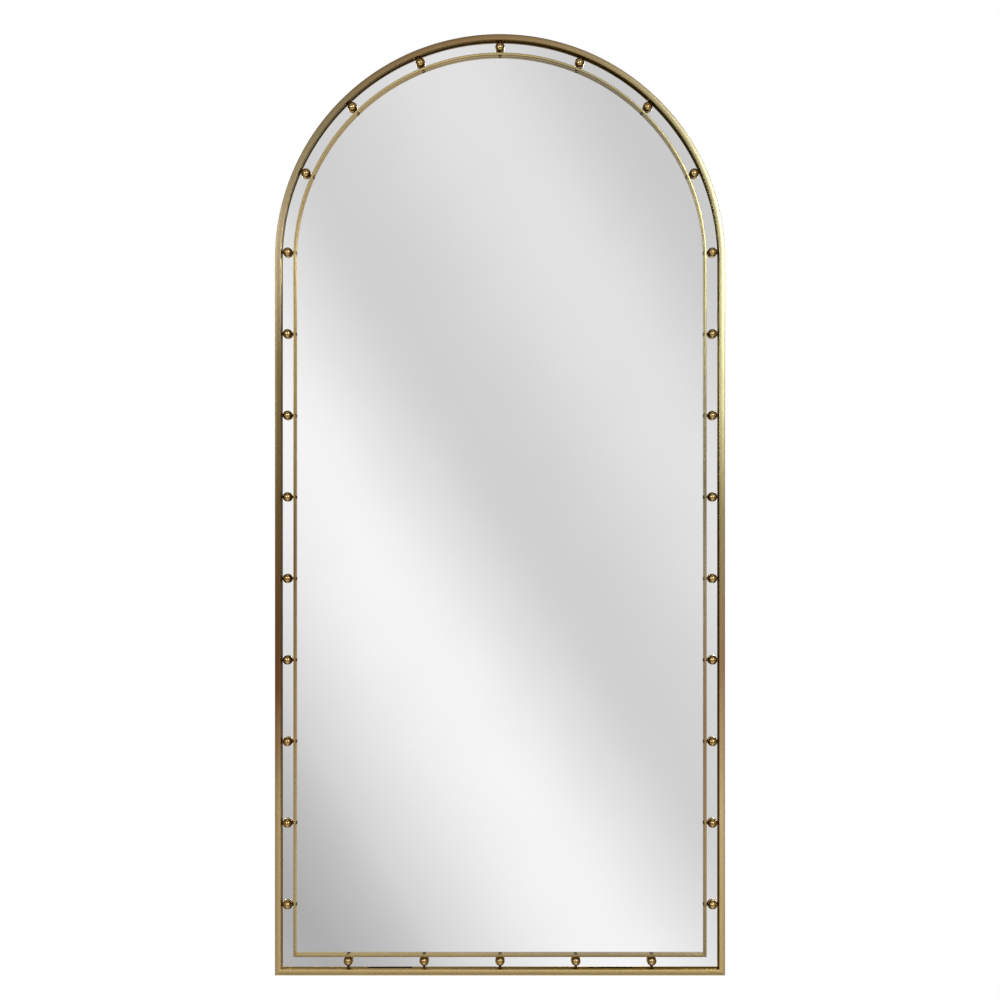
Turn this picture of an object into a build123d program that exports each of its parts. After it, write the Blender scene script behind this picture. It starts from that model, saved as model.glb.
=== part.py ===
from build123d import *
from math import asin, cos, degrees, pi, radians, sin
import os

# Arched wall mirror: a welded bar frame round the glass, with a row of balls pinned between the frame and
# an inner band. Millimetres, +Z up. The front faces -Y and the wall is the plane y = 0. The origin lies
# on the wall, midway between the pivots of the two hanger rings.

# Outer frame, a flat bar on edge
frame_width = 610
frame_height = 1276
bar_face = 8
bar_ease = 0.8

# Balls, evenly spaced from the top of the arch down each side, and along the bottom
ball_diameter = 13
ball_flat_diameter = 4.4
ball_neck = 2
ball_glass_clearance = 0.25
balls_per_side = 12
lowest_ball_height = 95
bottom_ball_count = 5
bottom_ball_pitch = 103
bottom_ball_seat = 0.2
ball_columns = 12
ball_rows = 6

# Inner band, a thin strip on edge that the balls hold in front of the glass
band_thickness = 3

# Pins through the balls, seated in the frame and peened over inside the band
pin_diameter = 3.2
pin_socket_depth = 4
pin_fit = 0.05
pin_head_diameter = 5.4
pin_head_height = 0.8
small_sides = 6

# Glass and backing board
glass_thickness = 4
glass_clearance = 1
glass_pad_thickness = 0.5
glass_pad_length = 10
board_thickness = 6
tape_count = 3
tape_thickness = 1
tape_width = 20
tape_spacing = 180
tape_end_margin = 60
setting_block_thickness = 1.5
setting_block_length = 60
setting_block_spacing = 300

# Retaining clips behind the board
clip_width = 14
clip_thickness = 1.5
clip_reach = 16
lowest_clip_height = 150
clip_spacing = 330
clips_per_stile = 2
arch_clip_angle = 32
bottom_clip_spacing = 330

# Screws that hold the clips and brackets to the frame
frame_screw_diameter = 3
frame_screw_head = 5.6
frame_screw_bite = 5

# Hanger straps and rings
hanger_drop = 41
strap_width = 14
strap_thickness = 1.5
strap_corner = 3
strap_lift = 0.34
strap_inset = 20
strap_end_margin = 9
strap_screw_spacing = 15
strap_screw_gap = 3
strap_screw_diameter = 4
strap_screw_head = 7
strap_screw_bite = 4
ring_wire = 3.5
ring_fit = 0.08
ring_side_play = 0.4
ring_corner_radius = 3
ring_sides = 8
ring_corner_steps = 2
ring_bow_steps = 4

# Hanger brackets that carry the straps
bracket_thickness = 2
bracket_end_margin = 8
bracket_edge_margin = 9
bracket_screw_spacing = 44

# Clearances
wall_clearance = 1.5
curve_seat = 0.08
screw_head_height = 1.8
screw_fit = 0.1
screw_end_gap = 0.5

# Sizes that follow from what fits inside what
band_gap = ball_diameter + 2 * ball_neck
glass_recess = ball_diameter + 2 * ball_glass_clearance
eye_radius = ring_wire / 2 + ring_fit + strap_thickness
rear_recess = bracket_thickness + strap_lift + 2 * eye_radius + wall_clearance
foot_depth = rear_recess - wall_clearance
bar_depth = glass_recess + glass_thickness + tape_thickness + board_thickness + rear_recess

# Depths, from the front of the frame to the wall
front_y = -bar_depth
glass_front = front_y + glass_recess
glass_back = glass_front + glass_thickness
board_front = glass_back + tape_thickness
board_back = board_front + board_thickness
band_back = glass_front - glass_pad_thickness
ball_y = (front_y + glass_front) / 2
strap_face = board_back + bracket_thickness
pivot_y = strap_face + strap_lift + eye_radius

# Heights
spring_z = hanger_drop
bottom_z = spring_z + frame_width / 2 - frame_height

# The balls' path, midway between the frame and the band
ball_radius = ball_diameter / 2
ball_flat_angle = asin(ball_flat_diameter / ball_diameter)
path_inset = bar_face + band_gap / 2
side_path = (frame_width / 2 - path_inset) * pi / 2 + spring_z - bottom_z
ball_pitch = (side_path - lowest_ball_height) / balls_per_side

# Ring and strap lengths below the pivot
ring_half_bar = strap_width / 2 + ring_side_play
ring_bow_radius = ring_half_bar + ring_corner_radius
ring_reach = ring_corner_radius + ring_bow_radius + ring_wire / 2
strap_screw_drop = ring_reach + strap_screw_gap + strap_screw_head / 2
strap_length = strap_screw_drop + strap_screw_spacing + strap_end_margin
bracket_width = strap_length + 2 * bracket_end_margin
bracket_reach = strap_inset + strap_width / 2 + bracket_edge_margin


def arch_place(inset, angle, depth):
    """Place on the arch, this many degrees to the right of its top. Its Z axis points outwards."""
    radius = frame_width / 2 - inset
    x = radius * sin(radians(angle))
    z = spring_z + radius * cos(radians(angle))
    return Pos(x, depth, z) * Rot(0, angle, 0)


def stile_place(inset, height, side, depth):
    """Place on the right (1) or left (-1) stile at a height. Its Z axis points outwards."""
    return Pos(side * (frame_width / 2 - inset), depth, height) * Rot(0, side * 90, 0)


def bottom_place(inset, x, depth):
    """Place on the bottom rail. Its Z axis points outwards, which is down."""
    return Pos(x, depth, bottom_z + inset) * Rot(0, 180, 0)


def path_place(distance, side, depth):
    """Place on the balls' path, this far from the top of the arch down one side."""
    radius = frame_width / 2 - path_inset
    angle = degrees(distance / radius)
    if angle < 90:
        return arch_place(path_inset, side * angle, depth)
    return stile_place(path_inset, spring_z + radius * pi / 2 - distance, side, depth)


def spaced(count, pitch):
    """Positions of a centred row."""
    return [(number - (count - 1) / 2) * pitch for number in range(count)]


def slab(outline, front, back):
    """A flat shape drawn in front view, made solid between two depths."""
    plane = Plane((0, back, 0), x_dir=(1, 0, 0), z_dir=(0, -1, 0))
    return extrude(plane * outline, amount=back - front)


def hoop(inset, thickness, back):
    """The left, right, arch and bottom pieces of a bar hoop, mitred at the foot."""
    outer = frame_width / 2 - inset
    inner = outer - thickness
    foot = bottom_z + inset
    corner = foot + thickness
    right = Polygon((inner, corner), (outer, foot), (outer, spring_z), (inner, spring_z), align=None)
    bottom = Polygon((-outer, foot), (outer, foot), (inner, corner), (-inner, corner), align=None)
    upper_half = Rectangle(2 * outer, outer, align=(Align.CENTER, Align.MIN))
    arch = Pos(0, spring_z) * ((Circle(outer) - Circle(inner)) & upper_half)
    outlines = {"left": mirror(right, Plane.YZ), "right": right, "arch": arch, "bottom": bottom}
    return {side: slab(outline, front_y, back) for side, outline in outlines.items()}


def eased(rail):
    """Ease the two long edges of a frame rail's front face."""
    front_edges = rail.edges().filter_by_position(Axis.Y, front_y, front_y)
    return chamfer(front_edges.filter_by(lambda edge: edge.length > 4 * bar_face), bar_ease)


def rod(diameter, low, high):
    """A many-sided rod along Z between two heights, in place of a small round one."""
    return extrude(Pos(0, 0, low) * RegularPolygon(diameter / 2, small_sides), amount=high - low)


def ball():
    """A many-sided ball drilled along Z, with a small flat round each end of the hole."""
    rings = []
    for row in range(ball_rows + 1):
        angle = ball_flat_angle + (pi - 2 * ball_flat_angle) * row / ball_rows
        outline = RegularPolygon(ball_radius * sin(angle), ball_columns)
        section = Pos(0, 0, -ball_radius * cos(angle)) * outline
        rings.append([vertex.center() for vertex in section.vertices()])
    faces = [Face(Wire.make_polygon(rings[0])), Face(Wire.make_polygon(rings[-1]))]
    for low, high in zip(rings, rings[1:]):
        for column in range(ball_columns):
            after = (column + 1) % ball_columns
            faces.append(Face(Wire.make_polygon([low[column], low[after], high[after], high[column]])))
    return Solid(Shell(faces)) - rod(pin_diameter + 2 * pin_fit, -ball_diameter, ball_diameter)


def pin():
    """A pin along Z from its socket in the frame, at +Z, to its peened head inside the band."""
    head_z = -band_gap / 2 - band_thickness - curve_seat
    shank = rod(pin_diameter, head_z, band_gap / 2 + pin_socket_depth)
    head_face = Pos(0, 0, head_z) * Rot(180, 0, 0) * RegularPolygon(pin_head_diameter / 2, small_sides)
    return shank + extrude(head_face, amount=pin_head_height, taper=35)


def pin_hole():
    """The hole that a pin needs: blind in the frame and right through the band."""
    low = -band_gap / 2 - 2 * band_thickness
    high = band_gap / 2 + pin_socket_depth + pin_fit
    return rod(pin_diameter + 2 * pin_fit, low, high)


def gallery_places():
    """The middle of the gap at every ball, by the ball's name."""
    places = {"ball_top": path_place(0, 1, ball_y)}
    for number in range(1, balls_per_side + 1):
        for name, side in (("left", -1), ("right", 1)):
            places[f"ball_{name}_{number:02d}"] = path_place(number * ball_pitch, side, ball_y)
    for number, x in enumerate(spaced(bottom_ball_count, bottom_ball_pitch), 1):
        places[f"ball_bottom_{number}"] = bottom_place(path_inset, x, ball_y)
    return places


def ball_shift(name):
    """How far a ball sits inwards of the middle of the gap. The bottom ones sit against the band."""
    if "bottom" in name:
        return band_gap / 2 - ball_radius * cos(ball_flat_angle) - bottom_ball_seat
    return 0


def glass_pads():
    """Clear pads behind the band, in every second gap between balls, that the glass lies against."""
    pad_y = (band_back + glass_front) / 2
    inward = (band_gap + band_thickness) / 2
    pad = Pos(0, 0, -inward) * Box(glass_pad_length, glass_pad_thickness, band_thickness)
    places = [path_place((number + 0.5) * ball_pitch, side, pad_y)
              for number in range(0, balls_per_side, 2) for side in (-1, 1)]
    places += [bottom_place(path_inset, x, pad_y) for x in spaced(bottom_ball_count - 1, bottom_ball_pitch)]
    return Compound([place * pad for place in places])


def arched_sheet(front, back):
    """A sheet that fills the frame: straight sides, a half-round top and a foot on the setting blocks."""
    half = frame_width / 2 - bar_face - glass_clearance
    foot = bottom_z + bar_face + setting_block_thickness
    body = Pos(0, foot) * Rectangle(2 * half, spring_z - foot, align=(Align.CENTER, Align.MIN))
    return slab(body + Pos(0, spring_z) * Circle(half), front, back)


def mounting_tape():
    """Upright strips of double-sided tape between the glass and the board."""
    low = bottom_z + tape_end_margin
    strip = Box(tape_width, tape_thickness, spring_z - low, align=(Align.CENTER, Align.MAX, Align.MIN))
    return Compound([Pos(x, board_front, low) * strip for x in spaced(tape_count, tape_spacing)])


def setting_blocks():
    """Two blocks on the bottom rail that the glass and the board stand on."""
    block = Box(setting_block_length, board_back - glass_front, setting_block_thickness,
                align=(Align.CENTER, Align.MAX, Align.MIN))
    rail_top = bottom_z + bar_face
    return Compound([Pos(x, board_back, rail_top) * block for x in spaced(2, setting_block_spacing)])


def angle_piece(width, thickness, reach):
    """An angle piece: its foot lies on the frame's inner wall and its tongue on the board's back."""
    profile = Polygon((0, 0), (foot_depth, 0), (foot_depth, -thickness), (thickness, -thickness),
                      (thickness, -reach), (0, -reach), align=None)
    return extrude(Plane.YZ * profile, amount=width / 2, both=True)


def clip_places():
    """The corner of every retaining clip, where the frame's inner wall meets the board's back."""
    inset = bar_face + curve_seat
    places = [arch_place(inset, angle, board_back) for angle in (-arch_clip_angle, arch_clip_angle)]
    places += [bottom_place(inset, x, board_back) for x in spaced(2, bottom_clip_spacing)]
    for number in range(clips_per_stile):
        height = bottom_z + lowest_clip_height + number * clip_spacing
        places += [stile_place(inset, height, side, board_back) for side in (-1, 1)]
    return places


def bracket_place(side):
    """The corner of a hanger bracket, where the stile's inner wall meets the board's back."""
    return stile_place(bar_face + curve_seat, bracket_end_margin - bracket_width / 2, side, board_back)


def foot_screw_place(corner, thickness, along):
    """Where a screw's head meets an angle piece's foot, this far along it from its middle."""
    return corner * Pos(along, (foot_depth + thickness) / 2, -thickness)


def screw(diameter, head_diameter, length):
    """A pan-head screw along Z. Its head lies below z = 0."""
    head_face = Rot(180, 0, 0) * RegularPolygon(head_diameter / 2, small_sides)
    return rod(diameter, 0, length) + extrude(head_face, amount=screw_head_height, taper=15)


def screw_hole(diameter, length):
    """The hole for a screw, with room past its end."""
    return rod(diameter + 2 * screw_fit, -screw_head_height, length + screw_end_gap)


def pivot_place(side):
    """The middle of a hanger ring's pivot."""
    return Pos(side * (frame_width / 2 - bar_face - strap_inset), pivot_y, 0)


def strap():
    """A flat strap that hangs from a rolled eye. The eye's axis is X, and the wall side is +Y."""
    eye_y = strap_lift + eye_radius
    flat = Rectangle(strap_thickness, strap_length, align=(Align.MIN, Align.MAX))
    profile = flat + Pos(eye_y, 0) * Circle(eye_radius) - Pos(eye_y, 0) * Circle(ring_wire / 2 + ring_fit)
    body = Pos(0, -eye_y, 0) * extrude(Plane.YZ * profile, amount=strap_width / 2, both=True)
    return chamfer(body.edges().filter_by(Axis.Y).sort_by(Axis.Z)[:2], strap_corner)


def strap_screw_places(side):
    """Where the strap screws' heads meet the strap."""
    heights = [-strap_screw_drop, -strap_screw_drop - strap_screw_spacing]
    x = pivot_place(side).position.X
    return [Pos(x, strap_face + strap_thickness, height) * Rot(90, 0, 0) for height in heights]


def ring():
    """A wire D that hangs from its straight side, which turns in the strap's eye about X."""
    right = []
    for step in range(ring_corner_steps):
        turn = pi / 2 * step / ring_corner_steps
        right.append((ring_half_bar + ring_corner_radius * sin(turn), ring_corner_radius * (cos(turn) - 1)))
    for step in range(ring_bow_steps):
        turn = pi / 2 * step / ring_bow_steps
        right.append((ring_bow_radius * cos(turn), -ring_corner_radius - ring_bow_radius * sin(turn)))
    lowest = (0, -ring_corner_radius - ring_bow_radius)
    left = [(-x, z) for x, z in reversed(right)]
    section = Plane((ring_half_bar, 0, 0), z_dir=(1, 0, 0)) * RegularPolygon(ring_wire / 2, ring_sides)
    bow = sweep(section, path=Plane.XZ * Polyline(right + [lowest] + left), transition=Transition.RIGHT)
    return bow + Rot(0, 90, 0) * Cylinder(ring_wire / 2, 2 * ring_half_bar)


# Where things are fastened, and the holes that the fasteners need
gallery = gallery_places()
pin_holes = [place * pin_hole() for place in gallery.values()]
clips = clip_places()
clip_screws = [foot_screw_place(corner, clip_thickness, 0) for corner in clips]
bracket_screws = [foot_screw_place(bracket_place(side), bracket_thickness, along)
                  for side in (-1, 1) for along in spaced(2, bracket_screw_spacing)]
strap_screws = strap_screw_places(-1) + strap_screw_places(1)
clip_screw_length = clip_thickness + frame_screw_bite
bracket_screw_length = bracket_thickness + frame_screw_bite
strap_screw_length = strap_thickness + bracket_thickness + strap_screw_bite
foot_holes = [place * screw_hole(frame_screw_diameter, clip_screw_length) for place in clip_screws]
foot_holes += [place * screw_hole(frame_screw_diameter, bracket_screw_length) for place in bracket_screws]
strap_holes = [place * screw_hole(strap_screw_diameter, strap_screw_length) for place in strap_screws]

parts = {}
rail_names = {"left": "left_stile", "right": "right_stile", "arch": "arch_rail", "bottom": "bottom_rail"}
for side, rail in hoop(0, bar_face, 0).items():
    parts[rail_names[side]] = eased(rail) - pin_holes - foot_holes
for side, strip in hoop(bar_face + band_gap, band_thickness, band_back).items():
    parts[f"band_{side}"] = strip - pin_holes
drilled_ball = ball()
for name, place in gallery.items():
    parts[name] = place * Pos(0, 0, -ball_shift(name)) * drilled_ball
parts["ball_pins"] = Compound([place * pin() for place in gallery.values()])

parts["glass_pads"] = glass_pads()
parts["mirror_glass"] = arched_sheet(glass_front, glass_back)
parts["mounting_tape"] = mounting_tape()
parts["backing_board"] = arched_sheet(board_front, board_back) - strap_holes
parts["setting_blocks"] = setting_blocks()

clip = angle_piece(clip_width, clip_thickness, clip_reach)
clip_screw = screw(frame_screw_diameter, frame_screw_head, clip_screw_length)
parts["retaining_clips"] = Compound([corner * clip - foot_holes for corner in clips])
parts["clip_screws"] = Compound([place * clip_screw for place in clip_screws])

bracket = angle_piece(bracket_width, bracket_thickness, bracket_reach)
for side, name in ((-1, "left"), (1, "right")):
    parts[f"hanger_bracket_{name}"] = bracket_place(side) * bracket - foot_holes - strap_holes
    parts[f"hanger_strap_{name}"] = pivot_place(side) * strap() - strap_holes
    parts[f"hanger_ring_{name}"] = pivot_place(side) * ring()
bracket_screw = screw(frame_screw_diameter, frame_screw_head, bracket_screw_length)
parts["bracket_screws"] = Compound([place * bracket_screw for place in bracket_screws])
strap_screw = screw(strap_screw_diameter, strap_screw_head, strap_screw_length)
parts["strap_screws"] = Compound([place * strap_screw for place in strap_screws])

os.makedirs("parts", exist_ok=True)
for name, shape in parts.items():
    export_step(shape, f"parts/{name}.step")
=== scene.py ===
from math import atan2, cos, pi, radians, sin

import bmesh
import bpy
from mathutils import Matrix, Vector


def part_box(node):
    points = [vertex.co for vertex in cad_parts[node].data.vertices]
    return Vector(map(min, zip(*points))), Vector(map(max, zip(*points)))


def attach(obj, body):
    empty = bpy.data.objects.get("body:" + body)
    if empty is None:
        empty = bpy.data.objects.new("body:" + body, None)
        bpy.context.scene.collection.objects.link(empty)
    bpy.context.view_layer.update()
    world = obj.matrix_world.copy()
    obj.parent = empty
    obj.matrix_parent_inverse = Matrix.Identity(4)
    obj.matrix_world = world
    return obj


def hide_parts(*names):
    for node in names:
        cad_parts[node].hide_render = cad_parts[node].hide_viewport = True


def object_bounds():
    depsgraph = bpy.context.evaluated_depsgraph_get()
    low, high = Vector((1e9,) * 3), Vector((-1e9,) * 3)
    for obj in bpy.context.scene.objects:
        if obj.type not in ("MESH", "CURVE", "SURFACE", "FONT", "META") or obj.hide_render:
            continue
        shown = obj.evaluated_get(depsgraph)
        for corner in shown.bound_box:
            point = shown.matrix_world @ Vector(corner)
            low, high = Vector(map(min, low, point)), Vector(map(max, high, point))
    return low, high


# An arched wall mirror in antique brass. Metres, +Z up; the front faces -Y and the wall is the plane y = 0.
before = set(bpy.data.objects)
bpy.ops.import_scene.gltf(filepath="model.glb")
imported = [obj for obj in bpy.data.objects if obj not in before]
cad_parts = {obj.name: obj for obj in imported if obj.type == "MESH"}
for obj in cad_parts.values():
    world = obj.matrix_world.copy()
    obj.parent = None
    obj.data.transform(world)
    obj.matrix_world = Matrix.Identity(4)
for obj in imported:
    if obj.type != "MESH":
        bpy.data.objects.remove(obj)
cad_low, cad_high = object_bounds()
mm = 0.001

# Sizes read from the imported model
stile_low, stile_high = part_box("right_stile")
strip_low, strip_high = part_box("band_right")
glass_low, glass_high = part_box("mirror_glass")
board_low, board_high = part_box("backing_board")
strap_low, strap_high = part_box("hanger_strap_right")
bracket_low, bracket_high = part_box("hanger_bracket_right")
front_y = stile_low.y
foot_z = stile_low.z
spring_z = stile_high.z
top_z = cad_high.z
half_width = stile_high.x
bar_face = stile_high.x - stile_low.x
strip_outer = strip_high.x
strip_face = strip_high.x - strip_low.x
path_inset = half_width - (stile_low.x + strip_high.x) / 2

# Edges of the bars and strips
bar_ease = 0.8 * mm
bar_back_ease = 0.4 * mm
strip_ease = 0.45 * mm
arch_steps = 128

# Edges of the glass and the board
glass_edge = 0.6 * mm
board_edge = 0.5 * mm

# Balls and pins
ball_diameter = 13 * mm
ball_flat_diameter = 4.4 * mm
pin_diameter = 3.2 * mm
pin_fit = 0.05 * mm
pin_socket_depth = 4 * mm
pin_head_diameter = 5.4 * mm
pin_head_height = 0.8 * mm
round_steps = 40

# Clips, brackets, straps and rings behind the board
clip_width = 14 * mm
clip_thickness = 1.5 * mm
clip_reach = 16 * mm
clip_corner = 2 * mm
lowest_clip_height = 150 * mm
clip_spacing = 330 * mm
clips_per_stile = 2
arch_clip_angle = 32
bottom_clip_spacing = 330 * mm
foot_depth = 9 * mm
curve_seat = 0.08 * mm
bracket_thickness = 2 * mm
bracket_corner = 4 * mm
bracket_screw_spacing = 44 * mm
strap_width = 14 * mm
strap_thickness = 1.5 * mm
strap_lift = 0.34 * mm
strap_bend_drop = 2.2 * mm
strap_corner = 3 * mm
strap_screw_spacing = 15 * mm
strap_end_margin = 9 * mm
ring_wire = 3.5 * mm
ring_fit = 0.08 * mm
ring_side_play = 0.4 * mm
ring_corner_radius = 3 * mm

# Screws
frame_screw_head = 5.6 * mm
frame_screw_diameter = 3 * mm
frame_screw_length = 6.5 * mm
strap_screw_head = 7 * mm
strap_screw_diameter = 4 * mm
strap_screw_length = 7.5 * mm
screw_head_height = 1.8 * mm

# Where the photograph's frame edges lie, in its pixels
photo_side = 1000
photo_frame_top = 33.9
photo_frame_foot = 975.55

# Camera and floor
camera_distance = 3.4
camera_shift = 0.05
floor_radius = 30
floor_drop = 0.3


def open_up(name):
    """Name the new primitive and open it for editing."""
    piece = bpy.context.object
    piece.name = name
    piece.data.name = name
    bpy.ops.object.mode_set(mode="EDIT")
    return piece


def deselect():
    """Let go of every object."""
    for other in bpy.context.selected_objects:
        other.select_set(False)


def pick(kind, chooser=lambda part: True):
    """In edit mode, select just the verts, edges or faces that the chooser accepts."""
    modes = {"verts": "VERT", "edges": "EDGE", "faces": "FACE"}
    bpy.ops.mesh.select_mode(type=modes[kind])
    bpy.ops.mesh.select_all(action="DESELECT")
    shape = bmesh.from_edit_mesh(bpy.context.object.data)
    for part in getattr(shape, kind):
        if chooser(part):
            part.select_set(True)
    bmesh.update_edit_mesh(bpy.context.object.data)


def move(offset):
    """Move what is selected."""
    bpy.ops.transform.translate(value=offset)


def stretch(factors, about=(0, 0, 0)):
    """Scale what is selected about a point."""
    bpy.ops.transform.resize(value=factors, center_override=about)


def extrude_edges(offset):
    """Pull new faces out of the selected edges."""
    bpy.ops.mesh.extrude_edges_move(TRANSFORM_OT_translate={"value": offset})


def settle(piece, crease=35):
    """Close the edit: turn every face outwards and smooth all but the sharp edges."""
    bpy.ops.mesh.select_all(action="SELECT")
    bpy.ops.mesh.remove_doubles(threshold=0.0005 * mm)
    bpy.ops.mesh.normals_make_consistent(inside=False)
    bpy.ops.object.mode_set(mode="OBJECT")
    bpy.ops.object.shade_smooth_by_angle(angle=radians(crease))
    return piece


def modify(piece, kind, **settings):
    """Add a modifier and apply it."""
    modifier = piece.modifiers.new(kind.title(), kind)
    for name, value in settings.items():
        setattr(modifier, name, value)
    bpy.context.view_layer.objects.active = piece
    bpy.ops.object.modifier_apply(modifier=modifier.name)


def copied(piece, name, place):
    """A copy of a piece with its own mesh, moved to a place."""
    copy = piece.copy()
    copy.data = piece.data.copy()
    copy.name = name
    copy.data.name = name
    copy.data.transform(place)
    bpy.context.scene.collection.objects.link(copy)
    return copy


def joined(name, pieces):
    """Several pieces made into one."""
    deselect()
    for piece in pieces:
        piece.select_set(True)
    bpy.context.view_layer.objects.active = pieces[0]
    bpy.ops.object.join()
    pieces[0].name = name
    pieces[0].data.name = name
    return pieces[0]


def discard(piece):
    """Remove a pattern piece once its copies are made."""
    bpy.data.objects.remove(piece)


def dress(piece, finishes, slot, body, *replaced):
    """Give a piece its finishes, tie it to the body, and hide the nodes that it stands for."""
    piece.data.materials.clear()
    for finish in finishes:
        piece.data.materials.append(finish)
    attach(piece, body)
    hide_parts(*replaced)
    return piece


def straight_bar(name, low, high, front_ease, back_ease):
    """A flat bar between two corners, with its long edges eased."""
    deselect()
    bpy.ops.mesh.primitive_cube_add(size=1)
    piece = open_up(name)
    stretch(high - low)
    move((low + high) / 2)
    reach = max(high.x - low.x, high.z - low.z) / 2
    middle = (low.y + high.y) / 2

    def is_long(edge, at_front):
        in_front = edge.verts[0].co.y < middle and edge.verts[1].co.y < middle
        behind = edge.verts[0].co.y > middle and edge.verts[1].co.y > middle
        return edge.calc_length() > reach and (in_front if at_front else behind)

    for at_front, ease in ((True, front_ease), (False, back_ease)):
        pick("edges", lambda edge: is_long(edge, at_front))
        bpy.ops.mesh.bevel(offset=ease, segments=4, affect="EDGES")
    return piece


def arched_bar(name, outer, face, back_y, front_ease, back_ease):
    """A flat bar rolled to a half round: its section at the right springing, spun over to the left."""
    deselect()
    bpy.ops.mesh.primitive_plane_add(size=1)
    piece = open_up(name)
    middle = (front_y + back_y) / 2
    stretch((face, back_y - front_y, 1))
    move((outer - face / 2, middle, spring_z))
    pick("verts", lambda vert: vert.co.y < middle)
    bpy.ops.mesh.bevel(offset=front_ease, segments=4, affect="VERTICES")
    pick("verts", lambda vert: vert.co.y > middle)
    bpy.ops.mesh.bevel(offset=back_ease, segments=4, affect="VERTICES")
    bpy.ops.mesh.select_all(action="SELECT")
    bpy.ops.mesh.spin(steps=arch_steps, angle=pi, center=(0, 0, spring_z), axis=(0, 1, 0))
    bpy.ops.mesh.select_all(action="SELECT")
    stretch((1, 1, (top_z - spring_z) / half_width), (0, 0, spring_z))
    return piece


def saw_off(point, outwards):
    """Cut away what lies beyond a plane and close the cut."""
    bpy.ops.mesh.select_all(action="SELECT")
    bpy.ops.mesh.bisect(plane_co=point, plane_no=outwards, use_fill=True, clear_outer=True)


def lay_grain(piece, along, across):
    """Store how far each point lies along and across its bar, for the brushing to follow."""
    grain = piece.data.attributes.new("grain", "FLOAT_VECTOR", "POINT")
    for vert in piece.data.vertices:
        grain.data[vert.index].vector = (along(vert.co), across(vert.co), vert.co.y)


def arch_run(point):
    """Distance along the arch from its right springing."""
    return half_width * atan2(point.z - spring_z, point.x)


def hoop(names, inset, face, back_y, front_ease, back_ease):
    """The right, left, bottom and arched bars of one hoop, mitred at the foot."""
    outer = half_width - inset
    foot = foot_z + inset
    pieces = []
    for name, side in zip(names[:2], (1, -1)):
        ends = sorted((side * outer, side * (outer - face)))
        low = Vector((ends[0], front_y, foot))
        high = Vector((ends[1], back_y, spring_z))
        stile = straight_bar(name, low, high, front_ease, back_ease)
        saw_off((side * outer, 0, foot), (-side, 0, -1))
        settle(stile)
        lay_grain(stile, lambda point: point.z - spring_z, lambda point: outer - abs(point.x))
        pieces.append(stile)
    low = Vector((-outer, front_y, foot))
    high = Vector((outer, back_y, foot + face))
    rail = straight_bar(names[2], low, high, front_ease, back_ease)
    for side in (1, -1):
        saw_off((side * outer, 0, foot), (side, 0, 1))
    settle(rail)
    lay_grain(rail, lambda point: point.x - 1, lambda point: point.z - foot)
    arch = arched_bar(names[3], outer, face, back_y, front_ease, back_ease)
    settle(arch)
    lay_grain(arch, arch_run, lambda point: outer - Vector((point.x, point.z - spring_z)).length)
    return pieces + [rail, arch]


def turned(name, profile, steps=round_steps):
    """A piece turned about Z, from points of radius and height. It stays open for editing."""
    deselect()
    radius, height = profile[0]
    bpy.ops.mesh.primitive_circle_add(vertices=steps, radius=radius)
    piece = open_up(name)
    move((0, 0, height))
    for next_radius, next_height in profile[1:]:
        extrude_edges((0, 0, next_height - height))
        factor = next_radius / radius
        stretch((factor, factor, 1), (0, 0, next_height))
        radius, height = next_radius, next_height
    return piece


def close_ends():
    """Cap the open ends of a turned piece."""
    bpy.ops.mesh.select_all(action="SELECT")
    bpy.ops.mesh.fill_holes(sides=0)


def arc_points(radius, first, last, steps):
    """Points of radius and height on a ball, between two angles up from its lower pole."""
    angles = [first + (last - first) * step / steps for step in range(steps + 1)]
    return [(radius * sin(angle), -radius * cos(angle)) for angle in angles]


def drilled_ball():
    """A ball turned with a small flat at each end of its bore."""
    radius = ball_diameter / 2
    flat = atan2(ball_flat_diameter / 2, (radius**2 - (ball_flat_diameter / 2) ** 2) ** 0.5)
    bore = pin_diameter / 2 + pin_fit
    outside = arc_points(radius, flat, pi - flat, 28)
    flat_z = outside[-1][1]
    rim = 0.12 * mm
    lower = [(bore, rim - flat_z), (bore + rim, -flat_z)]
    upper = [(bore + rim, flat_z), (bore, flat_z - rim), (bore, rim - flat_z)]
    return settle(turned("drilled_ball", lower + outside + upper, 48))


def peened_pin(gap, strip):
    """A pin along Z: its end in the frame's socket, and its head hammered over inside the band."""
    shank = pin_diameter / 2
    head = pin_head_diameter / 2
    seat = -gap / 2 - strip - curve_seat
    crown = [(head * cos(turn), seat - pin_head_height * sin(turn)) for turn in (1.25, 0.9, 0.6, 0.3, 0)]
    top = gap / 2 + pin_socket_depth
    profile = crown + [(shank, seat), (shank, top - 0.3 * mm), (shank - 0.3 * mm, top)]
    piece = turned("peened_pin", profile, 24)
    close_ends()
    return settle(piece)


def ball_place(name):
    """A ball's own place, and its pin's place in the middle of the gap. The Z axis points outwards."""
    low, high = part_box(name)
    centre = (low + high) / 2
    if "bottom" in name:
        outwards = Vector((0, 0, -1))
        middle = Vector((centre.x, centre.y, foot_z + path_inset))
    elif centre.z > spring_z:
        outwards = Vector((centre.x, 0, centre.z - spring_z)).normalized()
        middle = Vector((0, centre.y, spring_z)) + outwards * (half_width - path_inset)
    else:
        outwards = Vector((1 if centre.x > 0 else -1, 0, 0))
        middle = Vector((outwards.x * (half_width - path_inset), centre.y, centre.z))
    turn = Matrix.Rotation(atan2(outwards.x, outwards.z), 4, "Y")
    return Matrix.Translation(centre) @ turn, Matrix.Translation(middle) @ turn


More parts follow.
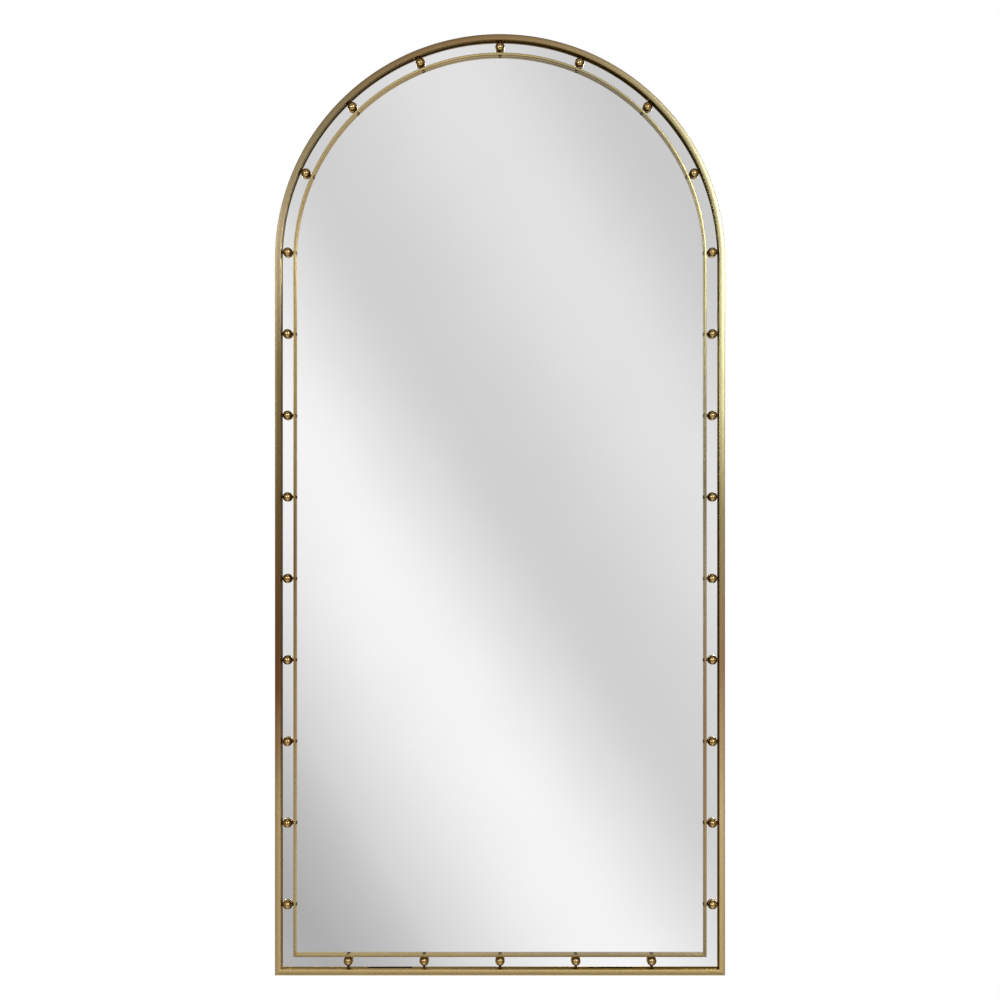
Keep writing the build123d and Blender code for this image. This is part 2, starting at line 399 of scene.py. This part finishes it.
def arched_sheet(name, low, high, edge):
    """A sheet with a half-round top, its edges ground or broken by a small bevel."""
    deselect()
    half = high.x
    bpy.ops.mesh.primitive_circle_add(vertices=4 * round_steps, radius=half, fill_type="NGON",
                                      rotation=(pi / 2, 0, 0))
    bpy.ops.object.transform_apply(rotation=True)
    piece = open_up(name)
    saw_off((0, 0, 0), (0, 0, -1))
    bpy.ops.mesh.select_all(action="SELECT")
    move((0, low.y, spring_z))
    pick("edges", lambda edge: all(abs(vert.co.z - spring_z) < 0.01 * mm for vert in edge.verts))
    extrude_edges((0, 0, low.z - spring_z))
    bpy.ops.mesh.select_all(action="SELECT")
    bpy.ops.mesh.extrude_region_move(TRANSFORM_OT_translate={"value": (0, high.y - low.y, 0)})
    settle(piece)
    modify(piece, "BEVEL", width=edge, segments=2, limit_method="ANGLE", angle_limit=radians(60))
    bpy.ops.object.shade_smooth_by_angle(angle=radians(20))
    return piece


def bent_strip(name, path, width, thickness, corner, end_count):
    """A strip of plate bent along points of depth and height, its last corners rounded."""
    deselect()
    bpy.ops.mesh.primitive_plane_add(size=width)
    piece = open_up(name)
    pick("verts", lambda vert: vert.co.y < 0)
    bpy.ops.mesh.delete(type="VERT")
    pick("edges")
    move((0, path[0][0] - width / 2, path[0][1]))
    for (depth, height), (next_depth, next_height) in zip(path, path[1:]):
        extrude_edges((0, next_depth - depth, next_height - height))
    ends = [path[0], path[-1]][:end_count]

    def at_end(vert):
        return any(abs(vert.co.y - y) + abs(vert.co.z - z) < 0.001 * mm for y, z in ends)

    pick("verts", at_end)
    bpy.ops.mesh.bevel(offset=corner, segments=6, affect="VERTICES")
    bpy.ops.object.mode_set(mode="OBJECT")
    modify(piece, "SOLIDIFY", thickness=thickness, offset=0)
    modify(piece, "BEVEL", width=thickness / 6, segments=2, limit_method="ANGLE", angle_limit=radians(50))
    bpy.ops.object.mode_set(mode="EDIT")
    return settle(piece, 40)


def angle_path(thickness, reach):
    """The middle line of an angle piece: foot on the frame, a bend, and tongue on the board."""
    bend = 1.2 * thickness
    centre = (thickness / 2 + bend, -thickness / 2 - bend)
    corner = [(centre[0] - bend * sin(turn), centre[1] + bend * cos(turn))
              for turn in (0, pi / 8, pi / 4, 3 * pi / 8, pi / 2)]
    return [(foot_depth, -thickness / 2)] + corner + [(thickness / 2, -reach)]


def pan_screw(name, head_diameter, shank_diameter, length):
    """A pan-head screw with a cross recess. Its head lies below z = 0 and its shank above."""
    head = head_diameter / 2
    shank = shank_diameter / 2
    crown = [(head * cos(turn), -screw_head_height * (0.45 + 0.55 * sin(turn)))
             for turn in (1.3, 1, 0.7, 0.35, 0)]
    profile = crown + [(head, 0), (shank, 0), (shank, length - shank), (shank / 4, length)]
    piece = turned(name, profile, 32)
    close_ends()
    settle(piece)
    for wide, thin in ((0.95, 0.2), (0.2, 0.95)):
        deselect()
        bpy.ops.mesh.primitive_cube_add(size=1)
        cutter = open_up("recess_cutter")
        stretch((wide * head, thin * head, screw_head_height))
        move((0, 0, -screw_head_height))
        pick("faces", lambda face: face.normal.z > 0.9)
        stretch((0.55, 0.55, 1), (0, 0, -screw_head_height / 2))
        bpy.ops.object.mode_set(mode="OBJECT")
        modify(piece, "BOOLEAN", operation="DIFFERENCE", object=cutter, solver="EXACT")
        discard(cutter)
    deselect()
    piece.select_set(True)
    bpy.context.view_layer.objects.active = piece
    bpy.ops.object.shade_smooth_by_angle(angle=radians(35))
    return piece


def wire_ring():
    """A wire D: a rounded outline swept by the wire's section. Its straight side lies on X."""
    deselect()
    half = strap_width / 2 + ring_side_play + ring_corner_radius
    drop = ring_corner_radius + half
    bpy.ops.mesh.primitive_plane_add(size=1, rotation=(pi / 2, 0, 0))
    bpy.ops.object.transform_apply(rotation=True)
    piece = open_up("wire_ring")
    stretch((2 * half, 1, drop))
    move((0, 0, -drop / 2))
    pick("verts", lambda vert: vert.co.z > -drop / 2)
    bpy.ops.mesh.bevel(offset=ring_corner_radius, segments=8, affect="VERTICES")
    pick("verts", lambda vert: vert.co.z < -0.99 * drop)
    bpy.ops.mesh.bevel(offset=0.999 * half, segments=20, affect="VERTICES")
    pick("faces")
    bpy.ops.mesh.delete(type="ONLY_FACE")
    bpy.ops.object.mode_set(mode="OBJECT")
    bpy.ops.object.convert(target="CURVE")
    wire = bpy.context.object
    wire.data.bevel_depth = ring_wire / 2
    wire.data.bevel_resolution = 6
    bpy.ops.object.convert(target="MESH")
    bpy.ops.object.mode_set(mode="EDIT")
    return settle(bpy.context.object, 60)


def linear(code):
    """An sRGB hex colour as linear values."""
    values = [int(code[start:start + 2], 16) / 255 for start in (0, 2, 4)]
    return [value / 12.92 if value <= 0.04045 else ((value + 0.055) / 1.055) ** 2.4 for value in values] + [1]


def connect(tree, node, inputs):
    """Set a node's inputs, or link them to sockets or to the first outputs of other nodes."""
    for name, value in inputs.items():
        if isinstance(value, bpy.types.Node):
            value = next(output for output in value.outputs if output.enabled)
        if isinstance(value, bpy.types.NodeSocket):
            tree.links.new(value, node.inputs[name])
        else:
            node.inputs[name].default_value = value


def add(tree, kind, inputs=(), stops=(), **settings):
    """Add a node with its settings and links, and with its colour stops if it is a ramp."""
    new = tree.nodes.new(kind)
    for name, value in settings.items():
        setattr(new, name, value)
    if stops:
        ramp = new.color_ramp.elements
        while len(ramp) < len(stops):
            ramp.new(0.5)
        for element, (position, code) in zip(ramp, sorted(stops)):
            element.position = position
            element.color = linear(code)
    connect(tree, new, dict(inputs))
    return new


def blank(name):
    """A material with only its surface shader and output. Returns the material, its tree and the shader."""
    material = bpy.data.materials.new(name)
    material.use_nodes = True
    tree = material.node_tree
    return material, tree, tree.nodes["Principled BSDF"]


def antique_brass(name, face, left_painted_glancing_light, right_painted_glancing_light, left_patina_and_painted_light, right_patina_and_painted_light):
    """Brass-plated steel bar, brushed along its length, toned with a brown patina and lacquered.

    The eye sees a warm satin gold, redder in a patch of patina a third of the way up both sides, and darker
    along the outer arris. Paler high on the right and browner on the left is painted reflection, set into the
    tones. The two edge colours tint what is reflected at a glancing angle, on the left and on the right: a
    painted reflection, which on the bars is bright on the left and dark on the right.
    """
    material, tree, shader = blank(name)
    lay = add(tree, "ShaderNodeAttribute", attribute_name="grain").outputs["Vector"]
    lay_split = add(tree, "ShaderNodeSeparateXYZ", {0: lay})
    place = add(tree, "ShaderNodeTexCoord").outputs["Object"]
    split = add(tree, "ShaderNodeSeparateXYZ", {0: place})

    # Slow toning by height, one way on the left and another on the right, with an uneven edge. Besides
    # patina, it
    # holds painted reflection: paler high on the right and browner on the left
    cloud = add(tree, "ShaderNodeTexNoise", {"Vector": place, "Scale": 1 / (70 * mm), "Detail": 4})
    drift = add(tree, "ShaderNodeMath", {0: cloud, 1: 60 * mm, 2: split.outputs["Z"]},
                operation="MULTIPLY_ADD")
    height = add(tree, "ShaderNodeMapRange", {"Value": drift, "From Min": foot_z + 30 * mm,
                                              "From Max": top_z + 30 * mm})
    left = add(tree, "ShaderNodeValToRGB", {"Fac": height}, left_patina_and_painted_light)
    right = add(tree, "ShaderNodeValToRGB", {"Fac": height}, right_patina_and_painted_light)
    side = add(tree, "ShaderNodeMapRange", {"Value": split.outputs["X"], "From Min": -120 * mm,
                                            "From Max": 160 * mm}, interpolation_type="SMOOTHSTEP")
    tone = add(tree, "ShaderNodeMix", {"Factor": side, 6: left, 7: right}, data_type="RGBA")
    # The edge colours are painted reflection at a glancing angle: on the bars bright on the left and dark on
    # the right
    edge = add(tree, "ShaderNodeMix", {"Factor": side, 6: linear(left_painted_glancing_light), 7: linear(right_painted_glancing_light)},
               data_type="RGBA")

    # Fine mottling of the patina, and brushing along the bar. Both are coarser than the real ones, to show
    mottle = add(tree, "ShaderNodeTexNoise", {"Vector": lay, "Scale": 1 / (2.2 * mm), "Detail": 3})
    mottling = add(tree, "ShaderNodeMapRange", {"Value": mottle, "From Min": 0.3, "From Max": 0.7,
                                                "To Min": 0.86, "To Max": 1.12})
    long_lay = add(tree, "ShaderNodeVectorMath", {0: lay, 1: (1 / (25 * mm), 1 / (0.6 * mm), 1 / (0.6 * mm))},
                   operation="MULTIPLY")
    brushing = add(tree, "ShaderNodeTexNoise", {"Vector": long_lay, "Scale": 1, "Detail": 2})

    # Darker along the outer arris
    arris = add(tree, "ShaderNodeMapRange", {"Value": lay_split.outputs["Y"], "From Min": 0.1 * face,
                                             "From Max": 0.02 * face, "To Min": 1, "To Max": 0.45})
    shade = add(tree, "ShaderNodeMath", {0: mottling, 1: arris}, operation="MULTIPLY")
    shaded = add(tree, "ShaderNodeVectorMath", {0: tone, "Scale": shade}, operation="SCALE")

    rough = add(tree, "ShaderNodeMapRange", {"Value": brushing, "From Min": 0.3, "From Max": 0.7,
                                             "To Min": 0.24, "To Max": 0.34})
    relief = add(tree, "ShaderNodeBump", {"Height": brushing, "Distance": 0.004 * mm})
    connect(tree, shader, {"Base Color": shaded, "Metallic": 1, "Roughness": rough, "Normal": relief,
                           "Specular Tint": edge})
    return material


def polished_brass():
    """Solid brass, turned and buffed.

    A soft mirror-like pale gold, with faint tarnish clouds and turning lines.
    """
    material, tree, shader = blank("turned_and_buffed_brass")
    place = add(tree, "ShaderNodeTexCoord").outputs["Object"]
    cloud = add(tree, "ShaderNodeTexNoise", {"Vector": place, "Scale": 1 / (6 * mm), "Detail": 3})
    tone = add(tree, "ShaderNodeValToRGB", {"Fac": cloud}, [(0.35, "e3c88e"), (0.7, "cda968")])
    rough = add(tree, "ShaderNodeMapRange", {"Value": cloud, "From Min": 0.3, "From Max": 0.7, "To Min": 0.1,
                                             "To Max": 0.18})
    lines = add(tree, "ShaderNodeTexNoise", {"Vector": place, "Scale": 1 / (0.5 * mm), "Detail": 2})
    relief = add(tree, "ShaderNodeBump", {"Height": lines, "Distance": 0.004 * mm})
    connect(tree, shader, {"Base Color": tone, "Metallic": 1, "Roughness": rough, "Normal": relief})
    return material


def silvered_glass():
    """Float glass seen with its silvering. A clean, even, neutral mirror."""
    material, tree, shader = blank("silvered_float_glass")
    place = add(tree, "ShaderNodeTexCoord").outputs["Object"]
    haze = add(tree, "ShaderNodeTexNoise", {"Vector": place, "Scale": 1 / (120 * mm), "Detail": 2})
    tone = add(tree, "ShaderNodeValToRGB", {"Fac": haze}, [(0.3, "f5f5f5"), (0.7, "f7f7f7")])
    rough = add(tree, "ShaderNodeMapRange", {"Value": haze, "From Min": 0.3, "From Max": 0.7, "To Min": 0.0,
                                             "To Max": 0.012})
    connect(tree, shader, {"Base Color": tone, "Metallic": 1, "Roughness": rough})
    return material


def two_toned(name, light, dark, cloud_size, low, high, grit_size, relief_height, metallic=0):
    """A plain finish in two close tones, with clouded gloss and a fine relief."""
    material, tree, shader = blank(name)
    place = add(tree, "ShaderNodeTexCoord").outputs["Object"]
    cloud = add(tree, "ShaderNodeTexNoise", {"Vector": place, "Scale": 1 / cloud_size, "Detail": 4})
    tone = add(tree, "ShaderNodeValToRGB", {"Fac": cloud}, [(0.35, dark), (0.65, light)])
    rough = add(tree, "ShaderNodeMapRange", {"Value": cloud, "From Min": 0.3, "From Max": 0.7, "To Min": low,
                                             "To Max": high})
    grit = add(tree, "ShaderNodeTexNoise", {"Vector": place, "Scale": 1 / grit_size, "Detail": 3})
    relief = add(tree, "ShaderNodeBump", {"Height": grit, "Distance": relief_height})
    connect(tree, shader, {"Base Color": tone, "Metallic": metallic, "Roughness": rough, "Normal": relief})
    return material


def studio_world():
    """White to the eye, while metal and glass see a grey room.

    In it are two diagonal bands of light, a dark edge of the floor low in front, a lit floor below that, and
    grey-brown flags to the sides.
    """
    world = bpy.data.worlds.new("studio")
    bpy.context.scene.world = world
    world.use_nodes = True
    tree = world.node_tree
    tree.nodes.clear()
    direction = add(tree, "ShaderNodeTexCoord").outputs["Generated"]
    split = add(tree, "ShaderNodeSeparateXYZ", {0: direction})
    towards = add(tree, "ShaderNodeMath", {0: split.outputs["Y"], 1: -1}, operation="MULTIPLY")
    turn = add(tree, "ShaderNodeMath", {0: split.outputs["X"], 1: towards}, operation="ARCTAN2")
    rise = add(tree, "ShaderNodeMath", {0: split.outputs["Z"]}, operation="ARCSINE")

    # Angle across the two bands, in radians. They lean by this much, and lie within this spread of the middle
    lean = radians(32)
    raised = add(tree, "ShaderNodeMath", {0: rise, 1: sin(lean)}, operation="MULTIPLY")
    across = add(tree, "ShaderNodeMath", {0: turn, 1: cos(lean), 2: raised}, operation="MULTIPLY_ADD")
    spread = 0.16
    scale = add(tree, "ShaderNodeMapRange", {"Value": across, "From Min": -spread, "From Max": spread})
    tones = [(-0.1365, "b8b8b8"), (-0.105, "dadada"), (-0.048, "fdfdfd"), (-0.004, "e3e3e3"),
             (0.022, "d8d8d8"), (0.086, "eaeaea"), (0.128, "d4d4d4")]
    bands = add(tree, "ShaderNodeValToRGB", {"Fac": scale},
                [((angle + spread) / (2 * spread), code) for angle, code in tones])
    bands.color_ramp.interpolation = "CARDINAL"

    # The room above and below the bands, by height, and the flags to the sides
    levels = add(tree, "ShaderNodeMapRange", {"Value": rise, "From Min": -pi / 2, "From Max": pi / 2})
    room = add(tree, "ShaderNodeValToRGB", {"Fac": levels},
               [(0.0, "ece8e0"), (0.25, "dfdad1"), (0.36, "98938b"), (0.42, "35302a"), (0.45, "3a352f"),
                (0.58, "b5b2ae"), (0.72, "8a8681"), (1.0, "b8b5b0")])
    in_bands = add(tree, "ShaderNodeMapRange", {"Value": rise, "From Min": -0.3, "From Max": -0.18},
                   interpolation_type="SMOOTHSTEP")
    under_top = add(tree, "ShaderNodeMapRange", {"Value": rise, "From Min": 0.5, "From Max": 0.28},
                    interpolation_type="SMOOTHSTEP")
    swing = add(tree, "ShaderNodeMath", {0: turn}, operation="ABSOLUTE")
    ahead = add(tree, "ShaderNodeMapRange", {"Value": swing, "From Min": 0.75, "From Max": 0.35},
                interpolation_type="SMOOTHSTEP")
    level = add(tree, "ShaderNodeMath", {0: in_bands, 1: under_top}, operation="MULTIPLY")
    window = add(tree, "ShaderNodeMath", {0: level, 1: ahead}, operation="MULTIPLY")
    lit = add(tree, "ShaderNodeMix", {"Factor": window, 6: room, 7: bands}, data_type="RGBA")
    flag_start = add(tree, "ShaderNodeMapRange", {"Value": swing, "From Min": 0.5, "From Max": 1.0},
                     interpolation_type="SMOOTHSTEP")
    flag_end = add(tree, "ShaderNodeMapRange", {"Value": swing, "From Min": 2.6, "From Max": 2.0,
                                                "To Max": 0.75}, interpolation_type="SMOOTHSTEP")
    flags = add(tree, "ShaderNodeMath", {0: flag_start, 1: flag_end}, operation="MULTIPLY")
    flagged = add(tree, "ShaderNodeMix", {"Factor": flags, 6: lit, 7: linear("8c8479")}, data_type="RGBA")

    path = add(tree, "ShaderNodeLightPath")
    seen = add(tree, "ShaderNodeBackground", {"Color": (1, 1, 1, 1), "Strength": 1})
    fill = add(tree, "ShaderNodeBackground", {"Color": (1, 1, 1, 1), "Strength": 0.75})
    reflected = add(tree, "ShaderNodeBackground", {"Color": flagged, "Strength": 1})
    shine = add(tree, "ShaderNodeMath", {0: path.outputs["Is Glossy Ray"],
                                         1: path.outputs["Is Transmission Ray"]}, operation="MAXIMUM")
    indoors = add(tree, "ShaderNodeMixShader", {0: shine, 1: fill, 2: reflected})
    whole = add(tree, "ShaderNodeMixShader", {0: path.outputs["Is Camera Ray"], 1: indoors, 2: seen})
    add(tree, "ShaderNodeOutputWorld", {"Surface": whole})


def studio_floor():
    """A plain pale floor below the hanging mirror. It fades to white away from it and keeps its shadow."""
    deselect()
    bpy.ops.mesh.primitive_circle_add(vertices=96, radius=floor_radius, fill_type="NGON",
                                      location=(0, 0, foot_z - floor_drop))
    floor = bpy.context.object
    floor.name = "studio_floor"
    material, tree, shader = blank("pale_painted_floor")
    connect(tree, shader, {"Base Color": linear("ececea"), "Roughness": 0.8})
    place = add(tree, "ShaderNodeTexCoord").outputs["Object"]
    distance = add(tree, "ShaderNodeVectorMath", {0: place}, operation="LENGTH")
    path = add(tree, "ShaderNodeLightPath")
    fade = add(tree, "ShaderNodeMapRange", {"Value": distance.outputs["Value"], "From Min": 0.3,
                                            "From Max": 2, "To Min": 0.8, "To Max": 1},
               interpolation_type="SMOOTHSTEP")
    share = add(tree, "ShaderNodeMath", {0: fade, 1: path.outputs["Is Camera Ray"]}, operation="MULTIPLY")
    white = add(tree, "ShaderNodeEmission", {"Color": (1, 1, 1, 1), "Strength": 1})
    surface = add(tree, "ShaderNodeMixShader", {0: share, 1: shader, 2: white})
    connect(tree, tree.nodes["Material Output"], {"Surface": surface})
    floor.data.materials.append(material)
    floor.visible_glossy = False


def softbox(name, place, target, size, power):
    """A square soft white lamp aimed at a point."""
    data = bpy.data.lights.new(name, "AREA")
    data.size = size
    data.energy = power
    lamp = bpy.data.objects.new(name, data)
    lamp.location = place
    lamp.rotation_euler = (Vector(target) - Vector(place)).to_track_quat("-Z", "Y").to_euler()
    bpy.context.scene.collection.objects.link(lamp)


def place_camera():
    """A level camera in front of the mirror. A small shift keeps the stiles upright, as in the photograph."""
    scale = (spring_z + half_width - foot_z) / (photo_frame_foot - photo_frame_top)
    view_width = photo_side * scale
    view_middle = foot_z + (photo_frame_foot - photo_side / 2) * scale
    data = bpy.data.cameras.new("camera")
    data.sensor_width = 36
    data.lens = data.sensor_width * camera_distance / view_width
    data.shift_y = camera_shift
    camera = bpy.data.objects.new("camera", data)
    camera.location = (0, front_y - camera_distance, view_middle - camera_shift * view_width)
    camera.rotation_euler = (pi / 2, 0, 0)
    bpy.context.scene.collection.objects.link(camera)
    bpy.context.scene.camera = camera


# Finishes. The bars' tones run from the foot, 0, to the top of the arch, 1. Besides patina, they hold painted
# reflection: paler high on the right and browner on the left
bar_left_patina_and_painted_light = [(0, "ebce91"), (0.17, "d7b97f"), (0.3, "875633"), (0.37, "6f4e2e"), (0.5, "725a34"),
                  (0.65, "87744c"), (0.78, "c4b18a"), (0.9, "968662"), (1, "92744e")]
bar_right_patina_and_painted_light = [(0, "e4c98c"), (0.17, "e6cb93"), (0.33, "ac8866"), (0.49, "9c8d63"), (0.6, "c9c18d"),
                   (0.74, "c4bb90"), (0.88, "989170"), (1, "97825c")]
# The bands' tones likewise hold painted reflection besides their patina
strip_left_patina_and_painted_light = [(0, "c9b27f"), (0.1, "dcc284"), (0.25, "c0965a"), (0.45, "806033"), (0.62, "a88d50"),
                    (1, "d0b982")]
strip_right_patina_and_painted_light = [(0, "b39e6d"), (0.12, "caa96d"), (0.27, "b58a5c"), (0.43, "ad9b74"), (0.52, "857552"),
                     (0.75, "b3a878"), (1, "a3946a")]
# The bars' edge colours, bright on the left and dark on the right, are painted reflection
bar_finish = antique_brass("lacquered_antique_brass_bar_with_painted_light", bar_face, "fff0d0", "a08a60",
                           bar_left_patina_and_painted_light, bar_right_patina_and_painted_light)
strip_finish = antique_brass("lacquered_antique_brass_strip_with_painted_light", strip_face, "fff4dc", "fffaf0",
                             strip_left_patina_and_painted_light, strip_right_patina_and_painted_light)
ball_finish = polished_brass()
# The pins are brass-plated steel; their dark brown to near black is painted shade of the narrow gaps between
# balls and bars
pin_finish = two_toned("brass_plated_steel_painted_dark_for_shade", "6b4d28", "33220f", 3 * mm, 0.25, 0.4, 0.4 * mm,
                       0.006 * mm, 1)
zinc_finish = two_toned("zinc_plated_steel", "c9c9c4", "b2b2ae", 8 * mm, 0.3, 0.42, 0.4 * mm, 0.006 * mm, 1)
nickel_finish = two_toned("nickel_plated_steel", "cfccc4", "b9b6ae", 10 * mm, 0.18, 0.28, 0.4 * mm,
                          0.004 * mm, 1)
glass_finish = silvered_glass()
edge_finish = two_toned("ground_glass_edge", "8fb0a2", "7d9f91", 5 * mm, 0.25, 0.4, 1 * mm, 0.01 * mm)
paint_finish = two_toned("grey_mirror_backing_paint", "7c8288", "70767c", 40 * mm, 0.5, 0.7, 2 * mm,
                         0.02 * mm)
board_finish = two_toned("black_lacquered_fibreboard", "2a2825", "1f1d1b", 45 * mm, 0.45, 0.6, 1.5 * mm,
                         0.03 * mm)
tape_finish = two_toned("white_foam_tape", "e4e3de", "d6d5cf", 4 * mm, 0.8, 0.95, 0.5 * mm, 0.05 * mm)
pad_finish = two_toned("clear_silicone_pad", "d9dbd8", "c9ccca", 3 * mm, 0.25, 0.4, 1 * mm, 0.01 * mm)
block_finish = two_toned("black_rubber_block", "1d1d1d", "141414", 6 * mm, 0.7, 0.85, 0.8 * mm, 0.03 * mm)

# Frame and band
bar_names = ["stile_bar_right", "stile_bar_left", "foot_bar", "arch_bar"]
bars = hoop(bar_names, 0, bar_face, 0, bar_ease, bar_back_ease)
for piece, node in zip(bars, ["right_stile", "left_stile", "bottom_rail", "arch_rail"]):
    dress(piece, [bar_finish], "frame_finish", "frame", node)
strip_names = ["strip_right", "strip_left", "strip_foot", "strip_arch"]
strips = hoop(strip_names, half_width - strip_outer, strip_face, strip_high.y, strip_ease, strip_ease)
for piece, node in zip(strips, ["band_right", "band_left", "band_bottom", "band_arch"]):
    dress(piece, [strip_finish], "band_finish", "frame", node)

# Balls on their pins
ball = drilled_ball()
pin = peened_pin(stile_low.x - strip_high.x, strip_face)
pins = []
for node in sorted(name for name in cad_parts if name.startswith("ball_") and name != "ball_pins"):
    ball_at, pin_at = ball_place(node)
    turned_ball = copied(ball, "turned_" + node, ball_at)
    dress(turned_ball, [ball_finish], "ball_brass", "frame", node)
    pins.append(copied(pin, "pin", pin_at))
dress(joined("peened_pins", pins), [pin_finish], "pin_metal", "frame", "ball_pins")
discard(ball)
discard(pin)

# Glass and board. The glass is silvered in front, painted behind, and ground round its edge
glass_finishes = [glass_finish, edge_finish, paint_finish]
glass = arched_sheet("silvered_pane", glass_low, glass_high, glass_edge)
dress(glass, glass_finishes, "silvered_glass", "frame", "mirror_glass")
for face in glass.data.polygons:
    if face.normal.y > 0.9:
        face.material_index = glass_finishes.index(paint_finish)
    elif face.normal.y > -0.9:
        face.material_index = glass_finishes.index(edge_finish)
board = arched_sheet("black_board", board_low, board_high, board_edge)
dress(board, [board_finish], "black_board", "frame", "backing_board")

# Clips and brackets, with their screws
to_corner = half_width - bar_face - curve_seat
board_back = board_high.y


def corner_place(outwards, middle):
    """Where the inner wall of the frame meets the board's back. Z points outwards and Y to the wall."""
    turn = Matrix.Rotation(atan2(outwards[0], outwards[1]), 4, "Y")
    return Matrix.Translation(middle) @ turn


def clip_places():
    """The corner of every retaining clip."""
    places = []
    for angle in (-arch_clip_angle, arch_clip_angle):
        outwards = (sin(radians(angle)), cos(radians(angle)))
        middle = (to_corner * outwards[0], board_back, spring_z + to_corner * outwards[1])
        places.append(corner_place(outwards, middle))
    for side in (-1, 1):
        middle = (side * bottom_clip_spacing / 2, board_back, foot_z + bar_face + curve_seat)
        places.append(corner_place((0, -1), middle))
        for number in range(clips_per_stile):
            height = foot_z + lowest_clip_height + number * clip_spacing
            places.append(corner_place((side, 0), (side * to_corner, board_back, height)))
    return places


clip_path = angle_path(clip_thickness, clip_reach)
clip = bent_strip("retaining_clip", clip_path, clip_width, clip_thickness, clip_corner, 2)
clip_screw = pan_screw("clip_screw", frame_screw_head, frame_screw_diameter, frame_screw_length)
clips, clip_screws = [], []
for place in clip_places():
    clips.append(copied(clip, "clip", place))
    seat = Matrix.Translation((0, (foot_depth + clip_thickness) / 2, -clip_thickness))
    clip_screws.append(copied(clip_screw, "clip_screw", place @ seat))
dress(joined("bent_clips", clips), [zinc_finish], "clip_steel", "frame", "retaining_clips")
dress(joined("pan_screws_in_clips", clip_screws), [zinc_finish], "screw_steel", "frame", "clip_screws")
discard(clip)

bracket_middle = (bracket_low.z + bracket_high.z) / 2
bracket_width = bracket_high.z - bracket_low.z
bracket_reach = bracket_high.x - bracket_low.x
bracket_path = angle_path(bracket_thickness, bracket_reach)
bracket = bent_strip("bracket", bracket_path, bracket_width, bracket_thickness, bracket_corner, 2)
bracket_screws = []
for side, name in ((-1, "left"), (1, "right")):
    place = corner_place((side, 0), (side * to_corner, board_back, bracket_middle))
    plate = copied(bracket, "bent_bracket_" + name, place)
    dress(plate, [zinc_finish], "bracket_steel", "frame", "hanger_bracket_" + name)
    for along in (-bracket_screw_spacing / 2, bracket_screw_spacing / 2):
        seat = Matrix.Translation((along, (foot_depth + bracket_thickness) / 2, -bracket_thickness))
        bracket_screws.append(copied(clip_screw, "bracket_screw", place @ seat))
dress(joined("pan_screws_in_brackets", bracket_screws), [zinc_finish], "screw_steel", "frame",
      "bracket_screws")
discard(bracket)
discard(clip_screw)

# Hanger straps, rings and strap screws
pivot_x = (strap_low.x + strap_high.x) / 2
eye_middle = ring_wire / 2 + ring_fit + strap_thickness / 2
pivot_y = board_back + bracket_thickness + strap_lift + eye_middle + strap_thickness / 2
strap_middle_y = board_back + bracket_thickness + strap_thickness / 2 - pivot_y
roll_turns = [radians(12 * step) for step in range(25)]
roll = [(-eye_middle * cos(turn), eye_middle * sin(turn)) for turn in roll_turns]
strap_path = [(strap_middle_y, strap_low.z), (strap_middle_y, -strap_bend_drop)] + roll
strap = bent_strip("strap", strap_path, strap_width, strap_thickness, strap_corner, 1)
strap_screw = pan_screw("strap_screw", strap_screw_head, strap_screw_diameter, strap_screw_length)
ring = wire_ring()
strap_screws = []
for side, name in ((-1, "left"), (1, "right")):
    pivot = Matrix.Translation((side * pivot_x, pivot_y, 0))
    dress(copied(strap, "rolled_strap_" + name, pivot), [nickel_finish], "hanger_plate", "frame",
          "hanger_strap_" + name)
    dress(copied(ring, "wire_ring_" + name, pivot), [nickel_finish], "hanger_wire", "ring_" + name,
          "hanger_ring_" + name)
    for number in range(2):
        height = strap_low.z + strap_end_margin + number * strap_screw_spacing
        seat = (side * pivot_x, board_back + bracket_thickness + strap_thickness, height)
        place = Matrix.Translation(seat) @ Matrix.Rotation(pi / 2, 4, "X")
        strap_screws.append(copied(strap_screw, "strap_screw", place))
dress(joined("pan_screws_in_straps", strap_screws), [zinc_finish], "screw_steel", "frame", "strap_screws")
for pattern in (strap, strap_screw, ring):
    discard(pattern)

# Plain solids that stay as they are, with their own finishes
plain_finishes = {"mounting_tape": tape_finish, "glass_pads": pad_finish, "setting_blocks": block_finish}
for node, finish in plain_finishes.items():
    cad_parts[node].data.materials.clear()
    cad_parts[node].data.materials.append(finish)

bpy.context.scene.view_settings.view_transform = "Standard"
studio_world()
studio_floor()
softbox("key", (0.95, -2.7, 0.6), (0, 0, -0.2), 0.5, 13)
softbox("side", (-1.3, -2.2, 0.1), (0, 0, -0.3), 0.35, 6)
softbox("back", (0.9, 2.4, 1.2), (0, 0, -0.2), 0.8, 30)
place_camera()
